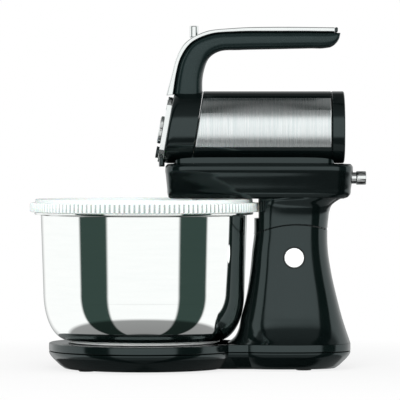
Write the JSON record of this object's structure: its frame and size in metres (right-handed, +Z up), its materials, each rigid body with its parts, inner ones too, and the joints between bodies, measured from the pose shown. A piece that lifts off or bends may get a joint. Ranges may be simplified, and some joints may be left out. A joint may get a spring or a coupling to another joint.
{
  "type": "hand mixer",
  "caption": "Hand mixer docked on a tilting stand, its beaters in a turning steel bowl driven through a toothed ring on the rim.",
  "frame": {"origin": "centre of the bounding box at floor level, under the stand", "axes": "+Z up; +X from the nose of the mixer to its rear; +Y to the side away from the column release button"},
  "size_m": [0.336, 0.228, 0.3423],
  "materials": {
    "black_gloss": "gloss",
    "white_plastic": "satin",
    "brushed_steel": "brushed",
    "polished_steel": "polished",
    "chrome": "polished",
    "rubber": "matte",
    "copper": "satin",
    "nylon": "satin",
    "dark_steel": "satin",
    "board_green": "satin"
  },
  "bodies": {
    "stand": {"stand_shell": "black_gloss", "base_tray": "black_gloss", "foot_pad_1": "rubber", "foot_pad_2": "rubber", "foot_pad_3": "rubber", "foot_pad_4": "rubber", "ballast_plate": "dark_steel", "turntable_spindle": "dark_steel", "tilt_hinge_pin": "dark_steel"},
    "bowl_unit": {"turntable": "white_plastic", "bowl": "polished_steel", "bowl_ring_gear": "white_plastic"},
    "column_button": {"column_release_button": "white_plastic"},
    "head": {"head_shell": "black_gloss", "head_floor": "black_gloss", "idler_pin": "dark_steel", "pinion_pin": "dark_steel"},
    "idler": {"idler_gear": "nylon"},
    "drive_pinion": {"bowl_drive_pinion": "nylon"},
    "release_knob": {"mixer_release_knob": "chrome"},
    "mixer": {"motor_housing": "black_gloss", "front_housing": "black_gloss", "rear_cap": "black_gloss", "cord_gland": "rubber", "side_sleeve_left": "brushed_steel", "side_sleeve_right": "brushed_steel", "handle_grip": "black_gloss", "handle_trim": "chrome", "handle_end_block": "black_gloss", "control_fascia": "chrome", "eject_spring": "dark_steel", "field_stator": "dark_steel", "motor_bearing_front": "dark_steel", "motor_bearing_rear": "dark_steel", "brush_left": "dark_steel", "brush_right": "dark_steel", "motor_frame": "nylon", "gearbox_frame": "nylon", "circuit_board": "board_green"},
    "armature": {"armature_shaft": "dark_steel", "armature_core": "copper", "commutator": "copper", "cooling_fan": "white_plastic"},
    "wheel_left": {"worm_wheel_left": "nylon"},
    "wheel_right": {"worm_wheel_right": "nylon"},
    "beater_left_unit": {"beater_left": "polished_steel"},
    "beater_right_unit": {"beater_right": "polished_steel", "beater_collar_gear": "nylon"},
    "turbo": {"turbo_button": "chrome"},
    "lower": {"lower_button": "black_gloss"},
    "dial": {"speed_dial": "chrome"},
    "eject": {"eject_button": "chrome"}
  },
  "joints": [
    {"name": "head_tilt", "type": "hinge", "parent": "stand", "child": "head", "pos_m": [0.1276, 0, 0.1398], "axis": [0, 1, 0], "range_deg": [0, 45]},
    {"name": "column_button_press", "type": "slide", "parent": "stand", "child": "column_button", "axis": [0, 1, 0], "range_m": [0, 0.003], "stiffness_N_per_m": 400},
    {"name": "bowl_turn", "type": "hinge", "parent": "stand", "child": "bowl_unit", "pos_m": [-0.054, 0, 0.03], "axis": [0, 0, 1], "continuous": true},
    {"name": "mixer_lift", "type": "slide", "parent": "head", "child": "mixer", "axis": [0, 0, 1], "range_m": [0, 0.012]},
    {"name": "release_knob_push", "type": "slide", "parent": "head", "child": "release_knob", "axis": [-1, 0, 0], "range_m": [0, 0.004], "stiffness_N_per_m": 400},
    {"name": "idler_turn", "type": "hinge", "parent": "head", "child": "idler", "pos_m": [0.02799, 0.0048, 0.181], "axis": [0, 0, 1], "continuous": true},
    {"name": "pinion_turn", "type": "hinge", "parent": "head", "child": "drive_pinion", "pos_m": [0.07022, 0, 0.17], "axis": [0, 0, 1], "continuous": true},
    {"name": "armature_spin", "type": "hinge", "parent": "mixer", "child": "armature", "pos_m": [0.078, 0, 0.2413], "axis": [1, 0, 0], "continuous": true},
    {"name": "wheel_left_turn", "type": "hinge", "parent": "mixer", "child": "wheel_left", "pos_m": [-0.004, -0.019, 0.23], "axis": [0, 0, 1], "continuous": true},
    {"name": "wheel_right_turn", "type": "hinge", "parent": "mixer", "child": "wheel_right", "pos_m": [-0.004, 0.019, 0.23], "axis": [0, 0, 1], "continuous": true},
    {"name": "beater_left_eject", "type": "slide", "parent": "wheel_left", "child": "beater_left_unit", "axis": [0, 0, -1], "range_m": [0, 0.005]},
    {"name": "beater_right_eject", "type": "slide", "parent": "wheel_right", "child": "beater_right_unit", "axis": [0, 0, -1], "range_m": [0, 0.005]},
    {"name": "eject_press", "type": "slide", "parent": "mixer", "child": "eject", "axis": [0, 0, -1], "range_m": [0, 0.005], "stiffness_N_per_m": 1500, "deforming": ["eject_spring"]},
    {"name": "turbo_press", "type": "slide", "parent": "mixer", "child": "turbo", "axis": [0.9848, 0, -0.1736], "range_m": [0, 0.002], "stiffness_N_per_m": 400},
    {"name": "lower_press", "type": "slide", "parent": "mixer", "child": "lower", "axis": [0.9848, 0, -0.1736], "range_m": [0, 0.002], "stiffness_N_per_m": 400},
    {"name": "dial_turn", "type": "hinge", "parent": "mixer", "child": "dial", "pos_m": [-0.03546, 0, 0.23843], "axis": [-0.9848, 0, 0.1736], "range_deg": [0, 150]}
  ],
  "couplings": [
    {"joint": "wheel_left_turn", "follows": "armature_spin", "ratio": -0.076923},
    {"joint": "wheel_right_turn", "follows": "armature_spin", "ratio": 0.076923},
    {"joint": "idler_turn", "follows": "armature_spin", "ratio": -0.030769},
    {"joint": "pinion_turn", "follows": "armature_spin", "ratio": 0.043956},
    {"joint": "bowl_turn", "follows": "armature_spin", "ratio": -0.0045788},
    {"joint": "beater_left_eject", "follows": "eject_press", "ratio": 1},
    {"joint": "beater_right_eject", "follows": "eject_press", "ratio": 1}
  ]
}
